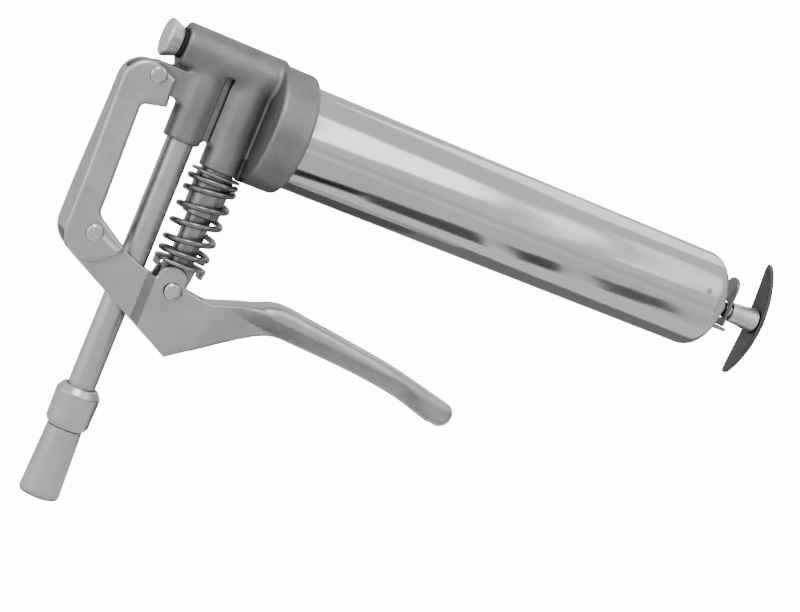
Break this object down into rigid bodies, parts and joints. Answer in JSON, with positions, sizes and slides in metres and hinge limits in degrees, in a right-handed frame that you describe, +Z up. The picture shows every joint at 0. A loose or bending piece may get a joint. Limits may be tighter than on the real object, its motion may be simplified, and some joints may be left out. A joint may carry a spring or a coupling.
{
  "type": "pistol-grip mini grease gun",
  "caption": "Pistol-grip mini grease gun: cast pump head, chromed barrel with spring follower and T-handle, squeeze lever on a floating link, rigid extension tube and hydraulic coupler.",
  "frame": {"origin": "middle of the overall length and width, at the height of the coupler's nose, which is the lowest point", "axes": "+X along the barrel towards the T-handle, +Y across the gun, its mirror plane at Y = 0, +Z up the extension tube from the coupler to the pump head"},
  "size_m": [0.2754, 0.0444, 0.1747],
  "materials": {
    "casting": "satin die-cast surface",
    "chrome_plate": "bright chrome plate",
    "pressed_steel": "satin zinc-plated pressing",
    "plated_steel": "zinc-plated, drawn and turned",
    "bright_steel": "bright drawn steel",
    "oiled_steel": "dark oiled steel",
    "black_steel": "black oxide steel",
    "pale_aluminium": "pale satin anodising",
    "nitrile_rubber": "moulded black rubber"
  },
  "bodies": {
    "head": {"head_casting": "casting", "link_pin": "bright_steel", "plunger_gland": "oiled_steel", "plunger_packing": "nitrile_rubber", "extension_tube": "plated_steel", "return_spring": "oiled_steel", "outlet_check_spring": "bright_steel", "coupler_body": "plated_steel", "coupler_sleeve": "plated_steel", "coupler_spring": "bright_steel"},
    "outlet_check": {"outlet_check_ball": "bright_steel"},
    "link": {"link": "pressed_steel", "lever_pin": "bright_steel"},
    "lever": {"lever": "pressed_steel"},
    "plunger": {"plunger_rod": "oiled_steel", "spring_seat": "oiled_steel", "plunger_pin": "bright_steel"},
    "gasket": {"barrel_gasket": "nitrile_rubber"},
    "barrel": {"barrel_tube": "chrome_plate", "rod_guide_bush": "oiled_steel", "follower_spring": "bright_steel"},
    "follower": {"follower_rod": "bright_steel", "rod_collar": "pale_aluminium", "t_handle": "black_steel", "follower_cup": "nitrile_rubber", "follower_plate": "bright_steel", "follower_washer": "bright_steel", "follower_nut": "bright_steel"},
    "rod_lock": {"rod_lock_tab": "black_steel"},
    "bleed_seal": {"bleed_plug_seal": "nitrile_rubber"},
    "bleed_plug": {"bleed_plug": "pale_aluminium"},
    "coupler_seal": {"coupler_seal": "nitrile_rubber"},
    "jaw_1": {"coupler_jaw_1": "bright_steel"},
    "jaw_2": {"coupler_jaw_2": "bright_steel"},
    "jaw_3": {"coupler_jaw_3": "bright_steel"}
  },
  "joints": [
    {"name": "lever_pivot", "type": "hinge", "parent": "link", "child": "lever", "pos_m": [-0.1272, 0, 0.0956], "axis": [0, -1, 0], "range_deg": [0, 20], "stiffness_Nm_per_rad": 1.2, "springref_deg": -34.38},
    {"name": "link_pivot", "type": "hinge", "parent": "head", "child": "link", "pos_m": [-0.1262, 0, 0.1536], "axis": [0, 1, 0], "range_deg": [0, 1.96]},
    {"name": "plunger_slide", "type": "slide", "parent": "head", "child": "plunger", "axis": [0, 0, 1], "range_m": [0, 0.01131], "deforming": ["return_spring"]},
    {"name": "barrel_turn", "type": "hinge", "parent": "gasket", "child": "barrel", "pos_m": [-0.0811, 0, 0.1512], "axis": [1, 0, 0], "range_deg": [0, 1080]},
    {"name": "barrel_advance", "type": "slide", "parent": "head", "child": "gasket", "axis": [1, 0, 0], "range_m": [0, 0.0046]},
    {"name": "follower_slide", "type": "slide", "parent": "barrel", "child": "follower", "axis": [1, 0, 0], "range_m": [0, 0.12], "stiffness_N_per_m": 60, "springref_m": -0.08, "deforming": ["follower_spring"]},
    {"name": "rod_lock_tilt", "type": "hinge", "parent": "barrel", "child": "rod_lock", "pos_m": [0.1194, 0, 0.1448], "axis": [0, 1, 0], "range_deg": [-2, 4], "stiffness_Nm_per_rad": 0.5},
    {"name": "bleed_turn", "type": "hinge", "parent": "bleed_seal", "child": "bleed_plug", "pos_m": [-0.1212, 0, 0.1666], "axis": [-1, 0, 0], "range_deg": [0, 1441]},
    {"name": "bleed_advance", "type": "slide", "parent": "head", "child": "bleed_seal", "axis": [-1, 0, 0], "range_m": [0, 0.004]},
    {"name": "outlet_check_lift", "type": "slide", "parent": "head", "child": "outlet_check", "axis": [0, 0, -1], "range_m": [0, 0.001], "stiffness_N_per_m": 20, "springref_m": -0.002, "deforming": ["outlet_check_spring"]},
    {"name": "jaw_1_slide", "type": "slide", "parent": "head", "child": "jaw_1", "axis": [0.1694, 0, 0.9855], "range_m": [0, 0.002], "stiffness_N_per_m": 150, "springref_m": -0.002},
    {"name": "jaw_2_slide", "type": "slide", "parent": "head", "child": "jaw_2", "axis": [-0.0847, 0.1467, 0.9855], "range_m": [0, 0.002]},
    {"name": "jaw_3_slide", "type": "slide", "parent": "head", "child": "jaw_3", "axis": [-0.0847, -0.1467, 0.9855], "range_m": [0, 0.002]},
    {"name": "seal_lift", "type": "slide", "parent": "head", "child": "coupler_seal", "axis": [0, 0, 1], "range_m": [0, 0.002], "deforming": ["coupler_spring"]}
  ],
  "couplings": [
    {"joint": "link_pivot", "follows": "lever_pivot", "ratio": 0.0949},
    {"joint": "plunger_slide", "follows": "lever_pivot", "m_per_rad": 0.03226},
    {"joint": "barrel_advance", "follows": "barrel_turn", "m_per_rad": 0.00023873},
    {"joint": "bleed_turn", "follows": "bleed_advance", "rad_per_m": 6283.2},
    {"joint": "jaw_2_slide", "follows": "jaw_1_slide", "ratio": 1},
    {"joint": "jaw_3_slide", "follows": "jaw_1_slide", "ratio": 1},
    {"joint": "seal_lift", "follows": "jaw_1_slide", "ratio": 0.9855}
  ]
}
